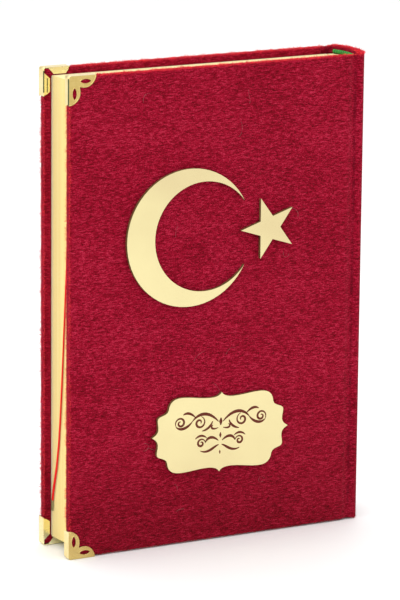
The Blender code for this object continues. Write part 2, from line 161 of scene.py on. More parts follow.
class Look:
    """A node tree being wired, with its Principled shader and object coordinates in metres."""

    def __init__(self, name, roughness=0.5, metallic=0.0):
        self.material = bpy.data.materials.new(name)
        self.material.use_nodes = True
        self.tree = self.material.node_tree
        self.shader = self.tree.nodes["Principled BSDF"]
        self.shader.inputs["Roughness"].default_value = roughness
        self.shader.inputs["Metallic"].default_value = metallic
        self.coords = self.tree.nodes.new("ShaderNodeTexCoord").outputs["Object"]

    def node(self, kind, **values):
        made = self.tree.nodes.new("ShaderNode" + kind)
        for key, value in values.items():
            if key in made.inputs:
                made.inputs[key].default_value = value
            else:
                setattr(made, key, value)
        return made

    def link(self, source, target):
        self.tree.links.new(source, target)
        return target

    def scaled(self, scale):
        mapping = self.node("Mapping")
        mapping.inputs["Scale"].default_value = scale
        self.link(self.coords, mapping.inputs["Vector"])
        return mapping.outputs["Vector"]

    def noise(self, scale, detail=3.0, rough=0.6, distortion=0.0):
        made = self.node("TexNoise")
        made.inputs["Scale"].default_value = 1.0
        made.inputs["Detail"].default_value = detail
        made.inputs["Roughness"].default_value = rough
        made.inputs["Distortion"].default_value = distortion
        self.link(self.scaled(scale), made.inputs["Vector"])
        return made.outputs["Fac"]

    def math(self, operation, a, b=0.0):
        made = self.node("Math", operation=operation)
        for socket, value in zip(made.inputs, (a, b)):
            if isinstance(value, (int, float)):
                socket.default_value = value
            else:
                self.link(value, socket)
        return made.outputs[0]

    def ramp(self, factor, stops):
        stops = list(stops)
        made = self.node("ValToRGB")
        elements = made.color_ramp.elements
        while len(elements) < len(stops):
            elements.new(0.5)
        for element, (at, color) in zip(elements, stops):
            element.position = at
            element.color = (*color, 1)
        self.link(factor, made.inputs["Fac"])
        return made.outputs["Color"]

    def mix(self, factor, a, b, blend="MIX"):
        made = self.node("Mix", data_type="RGBA", blend_type=blend)
        sockets = [s for s in made.inputs if s.enabled]
        for socket, value in zip(sockets, (factor, a, b)):
            if isinstance(value, tuple):
                socket.default_value = (*value, 1)
            elif isinstance(value, (int, float)):
                socket.default_value = value
            else:
                self.link(value, socket)
        return [s for s in made.outputs if s.enabled][0]

    def axis(self, index):
        made = self.node("SeparateXYZ")
        self.link(self.coords, made.inputs[0])
        return made.outputs[index]

    def facing(self, index):
        """1 where the surface looks along one of the object's own axes, either way."""
        normal = self.node("TexCoord").outputs["Normal"]
        made = self.node("SeparateXYZ")
        self.link(normal, made.inputs[0])
        return self.math("GREATER_THAN", self.math("ABSOLUTE", made.outputs[index]), 0.7)

    def band(self, index, low, high, soft):
        """1 between two places along an axis, fading over soft metres outside them."""
        at = self.axis(index)
        rise = self.math("DIVIDE", self.math("SUBTRACT", at, low - soft), soft)
        fall = self.math("DIVIDE", self.math("SUBTRACT", high + soft, at), soft)
        return self.math("MINIMUM", self.math("MINIMUM", rise, fall), 1.0)

    def color(self, socket):
        self.link(socket, self.shader.inputs["Base Color"])

    def roughness(self, socket):
        self.link(socket, self.shader.inputs["Roughness"])

    def bump(self, height, strength, distance):
        made = self.node("Bump")
        made.inputs["Strength"].default_value = strength
        made.inputs["Distance"].default_value = distance
        self.link(height, made.inputs["Height"])
        self.link(made.outputs["Normal"], self.shader.inputs["Normal"])


# Painted shade in the joint groove: where its dark strip lies across the cloth and how softly it fades, in
# metres
GROOVE_SHADE_BAND = (0.0624, 0.0630)
GROOVE_SHADE_SOFT = 0.0006
# Painted highlight: heights over which the cloth at the head turns bright red
HEAD_SHEEN_RAMP = [(0.1994, (0.0, 0.0, 0.0)), (0.2002, (0.85, 0.85, 0.85))]
FOOT_SHADE = [(0.0, (0.74, 0.55, 0.62)), (0.05, (1.0, 1.0, 1.0))]
RIBBON_TIP_Z = 0.0192


def velvet_look():
    look = Look("crimson_velvet", roughness=0.95)
    weft = look.noise((520.0, 520.0, 2600.0), detail=1.0, rough=0.7)
    pile = look.noise((2700.0, 2700.0, 2900.0), detail=1.0, rough=0.7)
    grain = look.math("ADD", look.math("MULTIPLY", pile, 1.15), -0.075)
    crush = look.noise((22.0, 22.0, 34.0), detail=3.0, rough=0.55, distortion=0.6)
    tone = look.math(
        "ADD",
        look.math("MULTIPLY", weft, 0.46),
        look.math("ADD", look.math("MULTIPLY", grain, 0.42), look.math("MULTIPLY", crush, 0.12)),
    )
    base = look.ramp(
        tone,
        [
            (0.38, (0.095, 0.0002, 0.0030)),
            (0.46, (0.198, 0.0005, 0.0105)),
            (0.54, (0.300, 0.0012, 0.0190)),
            (0.64, (0.480, 0.0240, 0.0620)),
        ],
    )
    # Painted shade: the cloth darkens over its lowest 5 cm, near the floor
    foot = look.ramp(look.axis(2), FOOT_SHADE)
    # Painted shade: a dark strip down the joint groove, made patchy by noise
    groove = look.math("MAXIMUM", look.band(0, *GROOVE_SHADE_BAND, GROOVE_SHADE_SOFT), 0.0)
    groove_shade_noise = look.noise((300.0, 300.0, 220.0))
    patchy_groove_shade = look.ramp(groove_shade_noise, [(0.35, (0.0, 0.0, 0.0)), (0.6, (0.55, 0.55, 0.55))])
    # Painted highlight: the cloth within a millimetre of the head is lighter red, standing for light from
    # above on the pile
    ragged = look.math("ADD", look.axis(2), look.math("MULTIPLY", grain, 0.0012))
    head_sheen = look.ramp(ragged, HEAD_SHEEN_RAMP)
    head_lit = look.mix(head_sheen, base, (0.80, 0.016, 0.050))
    toned = look.mix(1.0, head_lit, foot, "MULTIPLY")
    look.color(look.mix(look.math("MULTIPLY", groove, patchy_groove_shade), toned, (0.075, 0.0008, 0.006)))
    look.shader.inputs["Sheen Weight"].default_value = 0.14
    look.shader.inputs["Sheen Roughness"].default_value = 0.45
    look.shader.inputs["Sheen Tint"].default_value = (0.95, 0.2, 0.25, 1)
    look.shader.inputs["Specular IOR Level"].default_value = 0.08
    nap = look.math("ADD", look.math("MULTIPLY", weft, 0.4), look.math("MULTIPLY", grain, 0.6))
    look.bump(nap, 0.9, 0.0006)
    return look.material


def fringe_look():
    look = Look("velvet_pile_tips_painted_sheen", roughness=0.9)
    tone = look.noise((900.0, 900.0, 900.0), detail=1.0)
    # Painted sheen: the pile tips are a much lighter red than the velvet they grow from, standing for the
    # sheen along its edges
    look.color(look.ramp(tone, [(0.35, (0.60, 0.006, 0.024)), (0.65, (1.0, 0.050, 0.070))]))
    look.shader.inputs["Sheen Weight"].default_value = 0.3
    look.shader.inputs["Sheen Tint"].default_value = (1.0, 0.45, 0.45, 1)
    look.shader.inputs["Specular IOR Level"].default_value = 0.1
    return look.material


def lint_look():
    look = Look("grey_pink_lint", roughness=0.95)
    tone = look.noise((900.0, 900.0, 900.0), detail=1.0)
    look.color(look.ramp(tone, [(0.35, (0.22, 0.045, 0.060)), (0.65, (0.46, 0.17, 0.18))]))
    look.shader.inputs["Specular IOR Level"].default_value = 0.1
    return look.material


def paper_look():
    look = Look("cream_page_edges", roughness=0.62)
    cuts = look.noise((500.0, 9000.0, 22.0), detail=3.0, rough=0.7)
    along = look.noise((14.0, 1100.0, 5.0), detail=3.0, rough=0.7)
    depth = look.math("ADD", look.math("MULTIPLY", look.axis(1), 42.0), 0.5)
    tones = [(0.0, (0.970, 0.860, 0.375)), (0.5, (0.955, 0.790, 0.315)), (1.0, (0.800, 0.655, 0.262))]
    base = look.ramp(depth, tones)
    lines = look.ramp(cuts, [(0.35, (0.82, 0.72, 0.55)), (0.6, (1.0, 1.0, 1.0))])
    toned = look.mix(0.45, base, lines, "MULTIPLY")
    soft = look.ramp(along, [(0.4, (0.93, 0.86, 0.68)), (0.6, (1.0, 1.0, 1.0))])
    # Painted light: the head and tail faces of the leaves are made paler, standing for the light from above
    # on the head
    lit_head_and_tail = look.mix(look.math("MULTIPLY", look.facing(2), 0.65), toned, (1.0, 0.95, 0.60))
    look.color(look.mix(0.7, lit_head_and_tail, soft, "MULTIPLY"))
    look.shader.inputs["Specular IOR Level"].default_value = 0.3
    look.bump(cuts, 0.35, 0.00006)
    return look.material


def leaf_look():
    look = Look("cream_leaf", roughness=0.7)
    cloud = look.noise((45.0, 45.0, 45.0), detail=4.0)
    fibre = look.noise((1100.0, 1100.0, 1100.0), detail=3.0)
    tone = look.math("ADD", look.math("MULTIPLY", cloud, 0.5), look.math("MULTIPLY", fibre, 0.5))
    look.color(look.ramp(tone, [(0.35, (0.84, 0.74, 0.47)), (0.65, (0.90, 0.81, 0.55))]))
    look.shader.inputs["Specular IOR Level"].default_value = 0.3
    look.bump(fibre, 0.2, 0.00003)
    return look.material


def endpaper_look():
    look = Look("cream_endpaper", roughness=0.7)
    cloud = look.noise((60.0, 60.0, 60.0), detail=4.0)
    fibre = look.noise((900.0, 900.0, 1500.0), detail=3.0)
    tone = look.math("ADD", look.math("MULTIPLY", cloud, 0.5), look.math("MULTIPLY", fibre, 0.5))
    look.color(look.ramp(tone, [(0.35, (0.80, 0.70, 0.46)), (0.65, (0.88, 0.80, 0.56))]))
    look.bump(fibre, 0.25, 0.00004)
    return look.material


def board_look():
    look = Look("grey_board", roughness=0.9)
    fibre = look.noise((700.0, 1600.0, 700.0), detail=4.0)
    look.color(look.ramp(fibre, [(0.35, (0.30, 0.27, 0.23)), (0.65, (0.48, 0.45, 0.39))]))
    look.bump(fibre, 0.4, 0.0001)
    return look.material


def mull_look():
    look = Look("spine_mull", roughness=0.9)
    warp = look.math("SINE", look.math("MULTIPLY", look.axis(1), 9000.0))
    weft = look.math("SINE", look.math("MULTIPLY", look.axis(2), 9000.0))
    weave = look.math("MULTIPLY", warp, weft)
    look.color(look.ramp(weave, [(0.2, (0.48, 0.43, 0.33)), (0.7, (0.78, 0.73, 0.60))]))
    look.bump(weave, 0.5, 0.0001)
    return look.material


def brass_look(name, flap_reflection_stops, face_stops):
    look = Look(name, roughness=0.3, metallic=1.0)
    tarnish = look.noise((180.0, 180.0, 180.0), detail=4.0)
    scratch = look.noise((400.0, 400.0, 6000.0), detail=2.0)
    tone = look.math("ADD", look.math("MULTIPLY", tarnish, 0.7), look.math("MULTIPLY", scratch, 0.3))
    # Painted reflection: flaps take the brighter flap colours and faces looking along y the face colours, for
    # what each side reflects
    lit_flap = look.ramp(tone, zip((0.3, 0.65), flap_reflection_stops))
    face = look.ramp(tone, zip((0.3, 0.65), face_stops))
    look.color(look.mix(look.facing(1), lit_flap, face))
    look.roughness(look.ramp(tone, [(0.3, (0.36, 0.36, 0.36)), (0.7, (0.22, 0.22, 0.22))]))
    look.bump(scratch, 0.15, 0.00003)
    return look.material


def fold_shade_look():
    look = Look("dark_fold_painted_shade", roughness=0.55, metallic=0.2)
    grain = look.noise((900.0, 900.0, 300.0), detail=3.0)
    # Painted shade and dark reflection for the caps' folds, in a dark brass tone
    look.color(look.ramp(grain, [(0.3, (0.024, 0.040, 0.008)), (0.7, (0.085, 0.095, 0.022))]))
    look.shader.inputs["Specular IOR Level"].default_value = 0.15
    look.bump(grain, 0.2, 0.00003)
    return look.material


def mirror_look():
    look = Look("gold_mirror_acrylic", roughness=0.14, metallic=1.0)
    cloud = look.noise((35.0, 35.0, 35.0), detail=2.0)
    grain = look.noise((2500.0, 2500.0, 2500.0), detail=1.0)
    # Painted reflection: the mirror darkens towards its top and towards the spine, standing for the gradient
    # it reflects
    reflection_slope = look.math("ADD", look.axis(2), look.math("MULTIPLY", look.axis(0), 0.5))
    height = look.math("ADD", reflection_slope, look.math("MULTIPLY", cloud, 0.02))
    reflection_gradient = look.ramp(height, [(0.137, (1.0, 1.0, 1.0)), (0.149, (0.92, 0.885, 0.90))])
    tint = look.ramp(cloud, [(0.3, (0.735, 0.625, 0.335)), (0.7, (0.785, 0.680, 0.365))])
    look.color(look.mix(1.0, tint, reflection_gradient, "MULTIPLY"))
    look.roughness(look.ramp(grain, [(0.3, (0.13, 0.13, 0.13)), (0.7, (0.2, 0.2, 0.2))]))
    look.bump(grain, 0.04, 0.00002)
    return look.material


def cut_edge_look():
    look = Look("acrylic_edge_painted_shade", roughness=0.35)
    grain = look.noise((1500.0, 1500.0, 400.0), detail=2.0)
    # Dark brown edge walls: the acrylic's cut edge, darkened as painted shade along the outlines
    look.color(look.ramp(grain, [(0.3, (0.075, 0.046, 0.018)), (0.7, (0.21, 0.13, 0.046))]))
    look.bump(grain, 0.2, 0.00002)
    return look.material


def engraving_look():
    look = Look("brown_engraving", roughness=0.55)
    grain = look.noise((3000.0, 3000.0, 3000.0), detail=2.0)
    look.color(look.ramp(grain, [(0.3, (0.085, 0.016, 0.008)), (0.7, (0.155, 0.034, 0.018))]))
    look.shader.inputs["Specular IOR Level"].default_value = 0.1
    look.bump(grain, 0.2, 0.00002)
    return look.material


def ribbon_look():
    look = Look("red_satin_ribbon", roughness=0.5)
    rib = look.math("SINE", look.math("MULTIPLY", look.axis(2), 26000.0))
    shade = look.ramp(rib, [(0.0, (0.70, 0.004, 0.004)), (1.0, (0.88, 0.010, 0.007))])
    low = look.math("LESS_THAN", look.axis(2), RIBBON_TIP_Z)
    look.color(look.mix(low, shade, (0.24, 0.22, 0.09)))
    look.shader.inputs["Specular IOR Level"].default_value = 0.2
    look.bump(rib, 0.25, 0.00005)
    return look.material


def silk_look(name, dark, light):
    look = Look(name, roughness=0.5)
    twist = look.noise((1800.0, 1800.0, 5200.0), detail=2.0)
    look.color(look.ramp(twist, [(0.35, dark), (0.65, light)]))
    look.shader.inputs["Specular IOR Level"].default_value = 0.25
    look.bump(twist, 0.4, 0.00006)
    return look.material


VELVET = velvet_look()
SHEEN_FRINGE = fringe_look()
LINT = lint_look()
PAPER = paper_look()
LEAF = leaf_look()
ENDPAPER = endpaper_look()
BOARD = board_look()
MULL = mull_look()
# Painted reflection: one brass in two copies, the front caps' faces darker and the back caps' faces brighter
# than the flaps
FLAP_REFLECTION_TONES = ((0.84, 0.66, 0.30), (0.95, 0.82, 0.44))
DARK_REFLECTION_FACE = ((0.52, 0.365, 0.110), (0.66, 0.50, 0.185))
BRIGHT_REFLECTION_FACE = ((0.96, 0.86, 0.48), (1.0, 0.97, 0.66))
BRASS = brass_look("stamped_brass", FLAP_REFLECTION_TONES, DARK_REFLECTION_FACE)
BRASS_BRIGHT_REFLECTION = brass_look("brass_bright_reflection", FLAP_REFLECTION_TONES, BRIGHT_REFLECTION_FACE)
PAINTED_FOLD_SHADE = fold_shade_look()
MIRROR = mirror_look()
CUT_EDGE = cut_edge_look()
ENGRAVING = engraving_look()
RIBBON = ribbon_look()
GREEN_SILK = silk_look("green_silk_thread", (0.001, 0.055, 0.008), (0.005, 0.330, 0.045))
YELLOW_SILK = silk_look("yellow_silk_thread", (0.08, 0.26, 0.03), (0.20, 0.46, 0.09))

# Mesh helpers -------------------------------------------------------------


def add_mesh(name, points, faces, materials, smooth=True, indices=None):
    """A new object from points in metres; indices give each face's material."""
    mesh = bpy.data.meshes.new(name)
    mesh.from_pydata([tuple(p) for p in points], [], [tuple(f) for f in faces])
    for item in materials:
        mesh.materials.append(item)
    if indices is not None:
        mesh.polygons.foreach_set("material_index", indices)
    mesh.polygons.foreach_set("use_smooth", [smooth] * len(mesh.polygons))
    mesh.update()
    obj = bpy.data.objects.new(name, mesh)
    bpy.context.scene.collection.objects.link(obj)
    return obj


def outward(obj):
    """Turns the faces of a shell outwards."""
    work = bmesh.new()
    work.from_mesh(obj.data)
    bmesh.ops.recalc_face_normals(work, faces=work.faces)
    work.to_mesh(obj.data)
    work.free()


def bake_modifiers(obj):
    bpy.context.view_layer.update()
    evaluated = obj.evaluated_get(bpy.context.evaluated_depsgraph_get())
    mesh = bpy.data.meshes.new_from_object(evaluated)
    obj.modifiers.clear()
    obj.data = mesh


def smooth_noise(points, scale, seed):
    """A cheap band-limited noise from a few seeded plane waves, for points in millimetres."""
    waves = np.random.default_rng(seed)
    total = np.zeros(len(points))
    for _ in range(10):
        direction = waves.normal(size=3)
        direction /= np.linalg.norm(direction)
        rate = 2 * math.pi / scale * waves.uniform(0.6, 1.6)
        total += np.sin(points @ direction * rate + waves.uniform(0, 2 * math.pi))
    return total / 10


# Velvet case --------------------------------------------------------------

COVER = 3.2
TURN_IN = 3.2
BOARD_END = 128.4
SPINE_R = 26.86
SPINE_CX = SPINE_X - SPINE_R
SPINE_WALL = 2.6
SPINE_TURN_DEEP = 12.0
SPINE_ANGLES = (25.2, 22.0, 18.5, 15.0, 11.5, 8.0, 5.0, 2.0, 0.0)
EDGE_R = 0.55
CORNER_STEPS = 4
WAVE_MM = ((30.0, 5, 0.06), (8.0, 6, 0.02))  # each wave's length, seed and height
JOINT_WAVE = 0.4  # share of the waves that the joint and the spine take


def cloth_stations():
    """Plan pairs of outer and inner points from the fore-edge to the middle of the spine.

    Each comes with its foot's height and the part of the case that it belongs to.
    """
    stations = []
    for x in np.concatenate([[0.55, 1.2, 2.2, TURN_IN], np.arange(5.2, BOARD_END - 1.0, 2.0)]):
        stations.append(((x, 0.0), (x, COVER), CLOTH_Z0, "cover"))
    stations.append(((BOARD_END - 0.5, 0.02), (BOARD_END - 0.5, COVER), CLOTH_Z0, "cover"))
    groove = [
        ((128.5, 0.06), (128.45, 3.0)),
        ((128.9, 0.14), (128.6, 1.9)),
        ((129.4, 0.36), (129.0, 1.62)),
        ((129.9, 0.62), (129.7, 1.60)),
        ((130.4, 0.84), (130.4, 1.62)),
        ((130.9, 0.96), (130.9, 1.64)),
        ((131.5, 0.99), (131.5, 1.66)),
        ((132.1, 0.92), (132.1, 1.66)),
        ((132.7, 0.76), (132.7, 1.60)),
        ((133.3, 0.54), (133.3, 1.45)),
        ((134.0, 0.34), (133.9, 1.32)),
        ((134.8, 0.26), (134.3, 1.35)),
    ]
    for outer, inner in groove:
        stations.append((outer, inner, CLOTH_Z0, "joint"))
    stations.append(((135.6, 0.42), (134.6, 1.65), CLOTH_Z0 / 2, "joint"))
    for angle in SPINE_ANGLES:
        c, s = math.cos(math.radians(angle)), math.sin(math.radians(angle))
        outer = (SPINE_CX + SPINE_R * c, MID_Y - SPINE_R * s)
        inner_r = SPINE_R - SPINE_WALL
        inner = (SPINE_CX + inner_r * c, MID_Y - inner_r * s)
        stations.append((outer, inner, 0.0, "spine"))
    return stations


SECTION_ROWS = 99
COVER_TURN_SHARE = (TURN_IN - EDGE_R) / (CLOTH_Z1 - CLOTH_Z0 - 2 * EDGE_R)
SPINE_TURN_SHARE = (SPINE_TURN_DEEP - EDGE_R) / (HEIGHT - 2 * EDGE_R)


def face_rows():
    """Shares of the height for the rows of a face, with exact rows at the ends of the turn-ins."""
    exact = [COVER_TURN_SHARE, 1 - COVER_TURN_SHARE, SPINE_TURN_SHARE, 1 - SPINE_TURN_SHARE]
    even = [v for v in np.linspace(0.0, 1.0, SECTION_ROWS) if min(abs(v - e) for e in exact) > 0.004]
    return sorted(even + exact)


ROWS = face_rows()


def section_loop(outer, inner, z0):
    """One closed loop: up the outer face, over the head, down the inner face, round the tail."""
    z1 = HEIGHT - z0
    thick = math.dist(outer, inner)
    r = min(EDGE_R, thick / 2.15)
    span0, span1 = z0 + r, z1 - r
    quarter = [math.pi / 2 * i / CORNER_STEPS for i in range(CORNER_STEPS + 1)]
    loop = [(0.0, span0 + (span1 - span0) * share) for share in ROWS]
    loop += [(r - r * math.cos(a), span1 + r * math.sin(a)) for a in quarter[1:]]
    loop += [(thick - r + r * math.sin(a), span1 + r * math.cos(a)) for a in quarter[:-1]]
    loop += [(thick, span0 + (span1 - span0) * share) for share in reversed(ROWS)]
    loop += [(thick - r + r * math.cos(a), span0 - r * math.sin(a)) for a in quarter[1:]]
    loop += [(r - r * math.sin(a), span0 - r * math.cos(a)) for a in quarter[:-1]]
    along = [(inner[k] - outer[k]) / thick for k in (0, 1)]
    return [(outer[0] + along[0] * n, outer[1] + along[1] * n, z) for n, z in loop]


def fore_edge_rings(first):
    """Loops that close in towards the fore-edge, so that its two long edges are rounded."""
    rings = []
    middle = COVER / 2
    for share in (1.0, 0.75, 0.5, 0.25):
        angle = math.pi / 2 * share
        shrink = EDGE_R * (1 - math.cos(angle)) if share < 1 else EDGE_R
        x = EDGE_R * (1 - math.sin(angle))
        ring = []
        for _, y, z in first:
            reach = min(abs(y - middle), middle - shrink)
            ring.append(
                (
                    x,
                    middle + math.copysign(reach, y - middle),
                    min(max(z, CLOTH_Z0 + shrink), CLOTH_Z1 - shrink),
                )
            )
        rings.append(ring)
    return rings


def window_open(kinds, x, row):
    """True where the inner face is left open for the pastedown or the spine's board."""
    share = (ROWS[row] + ROWS[row + 1]) / 2
    if kinds == ("spine", "spine"):
        return SPINE_TURN_SHARE < share < 1 - SPINE_TURN_SHARE
    if kinds[0] == "cover" and x >= TURN_IN - 0.01:
        return COVER_TURN_SHARE < share < 1 - COVER_TURN_SHARE
    return False


def case_half(name, back):
    """The cloth of one cover, its joint and half of the spine."""
    stations = cloth_stations()
    loops = [section_loop(outer, inner, z0) for outer, inner, z0, _ in stations]
    rings = fore_edge_rings(loops[0]) + loops
    kinds = ["edge"] * 4 + [kind for *_, kind in stations]
    size = len(loops[0])
    rows = len(ROWS)
    inner_start = rows + 2 * CORNER_STEPS
    faces = []
    for i in range(len(rings) - 1):
        for j in range(size):
            row = inner_start + rows - 2 - j
            if 0 <= row < rows - 1 and window_open((kinds[i], kinds[i + 1]), rings[i][0][0], row):
                continue
            k = (j + 1) % size
            faces.append((i * size + j, (i + 1) * size + j, (i + 1) * size + k, i * size + k))
    for j in range(rows - 1):
        other = inner_start + rows - 1 - j
        faces.append((j, j + 1, other - 1, other))
    faces.append(tuple(range(rows - 1, inner_start + 1)))
    faces.append(tuple(range(inner_start + rows - 1, size)) + (0,))
    points = np.array([p for ring in rings for p in ring])
    soft = sum(smooth_noise(points, length, seed) * height for length, seed, height in WAVE_MM)
    outer_face = np.zeros(len(points))
    for i in range(4, len(rings)):
        outer_face[i * size + 2 : i * size + rows - 2] = 1.0
    points[:, 1] += soft * outer_face * np.where(points[:, 0] < BOARD_END, 1.0, JOINT_WAVE)
    if back:
        points[:, 1] = DEPTH - points[:, 1]
    obj = add_mesh(name, [world(*p) for p in points], faces, [VELVET])
    outward(obj)
    return obj


RIM_PILE = 42.0
TOP_PILE = 26.0
WALL_PILE = 8.0
BACK_PILE = 3.0
FACE_LINT = 0.035
PILE_LONG = (0.45, 1.0)
PILE_SHORT = (0.2, 0.5)
TUFT_HALF = (0.030, 0.070)
HAIR_HALF = (0.022, 0.045)
CAP_REACH = 12.6
FOOT_Z = 6.0
GROOVE_X = (126.0, 134.5)
SPINE_BACK_X = 137.5
TIPS, LINTS = 0, 1  # material slots of a fringe


def pile_zone(centre, normal):
    """Fibres per square millimetre, whether they are long, and their material, for one bit of cloth."""
    x, _, z = plan(centre)
    slant = 1.0 - max(abs(k) for k in normal)
    if x < CAP_REACH and not CAP_REACH < z < HEIGHT - CAP_REACH:
        return 0.0, False, TIPS
    if GROOVE_X[0] < x < GROOVE_X[1] and abs(normal[2]) < 0.25:
        return FACE_LINT, False, LINTS
    if x > GROOVE_X[1] and abs(normal[2]) < 0.1:
        return (BACK_PILE, False, TIPS) if x > SPINE_BACK_X else (FACE_LINT, False, LINTS)
    if slant > 0.02:
        return (RIM_PILE, True, TIPS) if z > FOOT_Z else (RIM_PILE / 5, False, TIPS)
    if normal[2] > 0.5:
        return TOP_PILE, False, TIPS
    if abs(normal[1]) < 0.3:
        return WALL_PILE, False, TIPS
    return FACE_LINT, False, LINTS


def pile_fringe(name, cloth, seed):
    """Single pile tips: dense on the rounded edges, only stray lint on the faces."""
    random = np.random.default_rng(seed)
    mesh = cloth.data
    points, faces, indices = [], [], []
    co = np.array([v.co for v in mesh.vertices])
    centres = np.array([polygon.center for polygon in mesh.polygons]) / MM
    clump = 1.0 + 1.8 * smooth_noise(centres, 2.0, seed) + 0.8 * smooth_noise(centres, 8.0, seed + 1)
    for polygon, swell in zip(mesh.polygons, clump):
        if len(polygon.vertices) != 4:
            continue
        normal = np.array(polygon.normal)
        density, tall, index = pile_zone(polygon.center, normal)
        count = random.poisson(polygon.area / MM**2 * density)
        if not count:
            continue
        corners = co[list(polygon.vertices)]
        u, v = random.random((2, count, 1))
        base = (corners[0] * (1 - u) + corners[1] * u) * (1 - v) + (corners[3] * (1 - u) + corners[2] * u) * v
        lean = normal + random.normal(size=(count, 3)) * 0.42
        lean /= np.linalg.norm(lean, axis=1)[:, None]
        side = np.cross(lean, random.normal(size=(count, 3)))
        side /= np.linalg.norm(side, axis=1)[:, None]
        reach = random.uniform(*(PILE_LONG if tall else PILE_SHORT), (count, 1))
        long = reach * MM * min(max(swell, 0.4), 1.5)
        half = random.uniform(*(TUFT_HALF if tall else HAIR_HALF), (count, 1)) * MM
        tip = base + lean * long
        base[:, 2] = np.maximum(base[:, 2], half[:, 0])
        tip[:, 2] = np.maximum(tip[:, 2], 0.0)
        start = len(points)
        points.extend(np.stack([base - side * half, base + side * half, tip], 1).reshape(-1, 3))
        faces += [(start + 3 * k, start + 3 * k + 1, start + 3 * k + 2) for k in range(count)]
        indices += [index] * count
    return add_mesh(name, points, faces, [SHEEN_FRINGE, LINT], smooth=False, indices=indices)


HAIRS = 16
HAIR_STEP = 0.5
HAIR_R = 0.045
HAIR_LIFT = 0.06
HAIR_CURL = 0.22
HAIR_WANDER = 0.12


def lint_hairs(side, seed):
    """A few curled stray fibres lying on one cover."""
    random = np.random.default_rng(seed)
    batch = Batch()
    for _ in range(HAIRS):
        x, z = random.uniform(8, 124), random.uniform(8, 192)
        turn, curl = random.uniform(0, 2 * math.pi), random.normal() * HAIR_CURL
        y = -HAIR_LIFT if side == "front" else DEPTH + HAIR_LIFT
        path = []
        for _ in range(random.integers(9, 18)):
            path.append((x, y, z))
            x += HAIR_STEP * math.cos(turn)
            z += HAIR_STEP * math.sin(turn)
            turn += curl + random.normal() * HAIR_WANDER
        batch.add(tube(path, HAIR_R, 5))
    obj = batch.build(side + "_lint_hairs", [LINT])
    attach(obj, side + "_cover")


def across_joint(piece, side):
    """Bakes a piece's transform into its mesh, the same for either cover."""
    if side == "front":
        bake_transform(piece)
    else:
        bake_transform(piece)


def velvet_case():
    for side in ("front", "back"):
        cloth = case_half(side + "_case_cloth", side == "back")
        fringe = pile_fringe(side + "_pile_tips", cloth, 11 if side == "front" else 12)
        across_joint(cloth, side)
        across_joint(fringe, side)
        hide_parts(side + "_velvet", "spine_velvet")
        lint_hairs(side, 21 if side == "front" else 22)


# Page leaves --------------------------------------------------------------

LEAVES_EACH = 8
TRIM_SPREAD = 0.035
FOLD_X = 130.6
FOLD_REACH = 1.4
TAPER = 2.5
BLOCK_BACK_R = 23.4
TURNING = {
    "section_01": "first_section",
    "section_02": "second_section",
    "section_18": "third_last_section",
    "section_19": "second_last_section",
    "section_20": "last_section",
}


def spine_reach(y):
    """Where the rounded back of the block lies at one depth."""
    return SPINE_CX + math.sqrt(BLOCK_BACK_R**2 - (y - MID_Y) ** 2)


def pinch(x):
    """The share of its thickness that a turning section keeps near its fold."""
    knots = [(-10.0, 1.0), (FOLD_X - TAPER, 1.0), (FOLD_X, 0.4), (FOLD_X + FOLD_REACH, 0.95), (200.0, 0.95)]
    return float(np.interp(x, [k[0] for k in knots], [k[1] for k in knots]))


def leaf_rows(x_fore, x_end, turning):
    if not turning:
        return [x_fore, x_fore + 0.6, x_end - 1.2, x_end]
    bend = [FOLD_X + d for d in (-2.5, -1.9, -1.4, -1.0, -0.6, -0.3, 0.0, 0.3, 0.6, 1.0, 1.4, 1.9)]
    return [x_fore, x_fore + 0.6, 60.0, 100.0, 120.0] + [x for x in bend if x < x_end - 0.3] + [x_end]


def section_leaves(name, random):
    """A section of single leaves whose cut edges differ by a few hundredths of a millimetre."""
    low, high = (plan(corner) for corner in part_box(name))
    turning = name in TURNING
    mid = (low[1] + high[1]) / 2
    pitch = (high[1] - low[1]) / LEAVES_EACH
    points, faces, indices = [], [], []
    reach = spine_reach(mid)
    broad, cut = 1, 0
    for leaf in range(LEAVES_EACH):
        offset = (leaf + 0.5 - LEAVES_EACH / 2) * pitch
        x_fore = low[0] + 0.02 + random.uniform(0, TRIM_SPREAD)
        z0 = low[2] + random.uniform(0, TRIM_SPREAD)
        z1 = high[2] - random.uniform(0, TRIM_SPREAD)
        round_back = 0.35 * (2 * abs(offset) / (high[1] - low[1])) ** 2
        half = pitch / 2 * 0.97
        start = len(points)
        rows = leaf_rows(x_fore, reach - round_back, turning)
        for x in rows:
            keep = pinch(x) if turning else 1.0
            for y in (mid + (offset - half) * keep, mid + (offset + half) * keep):
                points += [(x, y, z0), (x, y, z1)]
        for i in range(len(rows) - 1):
            a, b = start + 4 * i, start + 4 * (i + 1)
            faces += [
                (a, b, b + 1, a + 1),
                (a + 2, a + 3, b + 3, b + 2),
                (a, a + 2, b + 2, b),
                (a + 1, b + 1, b + 3, a + 3),
            ]
            indices += [broad, broad, cut, cut]
        last = start + 4 * (len(rows) - 1)
        faces += [(start, start + 1, start + 3, start + 2), (last, last + 2, last + 3, last + 1)]
        indices += [cut, cut]
    obj = add_mesh(
        name.replace("section", "leaves"),
        [world(*p) for p in points],
        faces,
        [PAPER, LEAF],
        smooth=False,
        indices=indices,
    )
    outward(obj)
    if turning:
        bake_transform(obj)
    else:
        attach(obj, "block_and_spine")
    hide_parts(name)


def text_block():
    random = np.random.default_rng(31)
    for number in range(1, 21):
        section_leaves(f"section_{number:02d}", random)


# Tubes and threads --------------------------------------------------------


